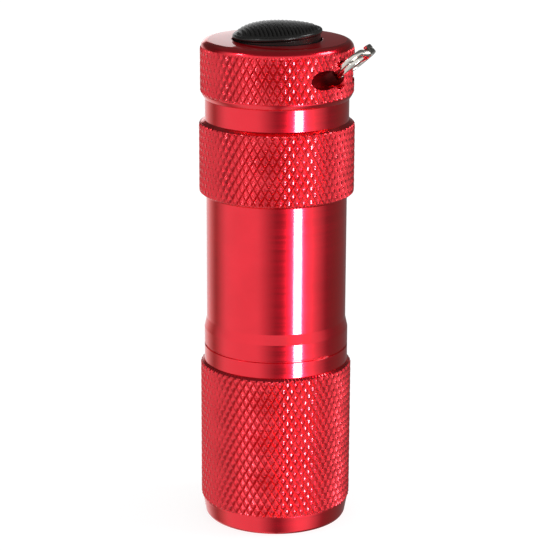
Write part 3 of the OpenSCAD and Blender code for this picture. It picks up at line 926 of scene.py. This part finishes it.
def softbox(name, azimuth, elevation, distance, size, radiance, roll=0):
    """Area light of even radiance. Its azimuth is in degrees from the camera's side, positive rightwards."""
    data = bpy.data.lights.new(name, "AREA")
    data.shape = "RECTANGLE"
    data.size, data.size_y = size
    data.energy = radiance * math.pi * size[0] * size[1]
    obj = bpy.data.objects.new(name, data)
    bpy.context.scene.collection.objects.link(obj)
    a, e = math.radians(azimuth), math.radians(elevation)
    back = Vector((math.sin(a) * math.cos(e), -math.cos(a) * math.cos(e), math.sin(e)))
    obj.location = Vector((0, 0, 43)) * MM + back * distance
    turn = back.to_track_quat("Z", "Y").to_matrix() @ Matrix.Rotation(math.radians(roll), 3, "Z")
    obj.rotation_euler = turn.to_euler()
    obj.visible_camera = False


def floor():
    """Large pale sheet, lit from within so that it stays even, that reflections look straight through."""
    paint = Paint("floor", Roughness=0.9, Emission_Color=(1, 1, 1, 1), Emission_Strength=0.8)
    paint.link(paint.blend(paint.noise(40), (0.20, 0.20, 0.20), (0.21, 0.21, 0.21)), "Base Color")
    turn = np.arange(64) * TAU / 64
    ring = np.stack([np.cos(turn), np.sin(turn), np.zeros(64)], axis=-1)
    points = np.concatenate([[[0, 0, -0.02]], ring * 300 + [0, 0, -0.02], ring * 6000 + [0, 0, -0.02]])
    faces = [[0, 1 + k, 1 + (k + 1) % 64] for k in range(64)]
    faces += [[1 + k, 65 + k, 65 + (k + 1) % 64, 1 + (k + 1) % 64] for k in range(64)]
    ground = finish_mesh("floor", points, faces, paint.material)
    ground.visible_glossy = False
    ground.visible_shadow = False


# A plain studio, as reflections see it: how bright the room is below and above the object, and overhead
ROOM, BACKDROP, OVERHEAD = 0.2, 0.08, 0.15
# Its soft panels: the middle and half the width of each by azimuth, in degrees from the camera's side and
# positive to the right, and how much light it adds. Their edges fade out over FADE_OUT degrees
BACK_PANEL = (-165, 20, 0.8)
LEFT_PANEL = (-60, 30, 0.8)
RIGHT_PANEL = (50, 10, 0.8)
FRONT_BANK = (0, 75, 1.0)
FADE_OUT = 30


def world():
    """Soft panels that only reflections see, and even white light for everything else."""
    made = bpy.data.worlds.new("studio")
    made.use_nodes = True
    tree = made.node_tree
    bpy.context.scene.world = made

    def node(kind, *inputs, **settings):
        new = tree.nodes.new("ShaderNode" + kind)
        for key, value in settings.items():
            setattr(new, key, value)
        for i, value in enumerate(inputs):
            if isinstance(value, bpy.types.NodeSocket):
                tree.links.new(value, new.inputs[i])
            else:
                new.inputs[i].default_value = value
        return new

    def maths(operation, *inputs):
        return node("Math", *inputs, operation=operation).outputs[0]

    def panel(middle, half, level):
        away = maths("ABSOLUTE", maths("SUBTRACT", azimuth, math.radians(middle)))
        ends = math.radians(half), math.radians(half + FADE_OUT)
        return node("MapRange", away, *ends, level, 0.0).outputs[0]

    def upwards(start, end, first, second):
        sines = [math.sin(math.radians(a)) for a in (start, end)]
        share = node("MapRange", axes[2], *sines).outputs[0]
        change = maths("SUBTRACT", second, first)
        return maths("MULTIPLY_ADD", share, change, first)

    axes = node("SeparateXYZ", node("TexCoord").outputs["Generated"]).outputs
    azimuth = maths("ARCTAN2", axes[0], maths("MULTIPLY", axes[1], -1.0))
    low_part = maths("ADD", panel(*LEFT_PANEL), panel(*RIGHT_PANEL))
    low_part = maths("ADD", maths("ADD", low_part, panel(*BACK_PANEL)), ROOM)
    high_part = maths("ADD", panel(*FRONT_BANK), BACKDROP)
    level = upwards(32, 42, upwards(0, 10, low_part, high_part), OVERHEAD)
    walls = node("Background", (1, 1, 1, 1), level).outputs[0]
    seen = node("LightPath").outputs
    glossy = maths("MAXIMUM", seen["Is Glossy Ray"], seen["Is Transmission Ray"])
    even = node("Background", (1, 1, 1, 1), 1.0).outputs[0]
    out = node("MixShader", glossy, even, walls).outputs[0]
    tree.links.new(out, tree.nodes["World Output"].inputs[0])


camera()
floor()
world()
softbox("key_strip", 35, -14, 0.7, (0.16, 0.29), 36)
softbox("back_left", -170.5, 10, 1.0, (0.29, 0.22), 1.15, roll=-20)
softbox("right_top", 88, 36, 0.8, (0.3, 0.2), 12)
softbox("left_top", -64, 38, 0.8, (0.12, 0.12), 14)
bpy.context.scene.view_settings.view_transform = "Standard"
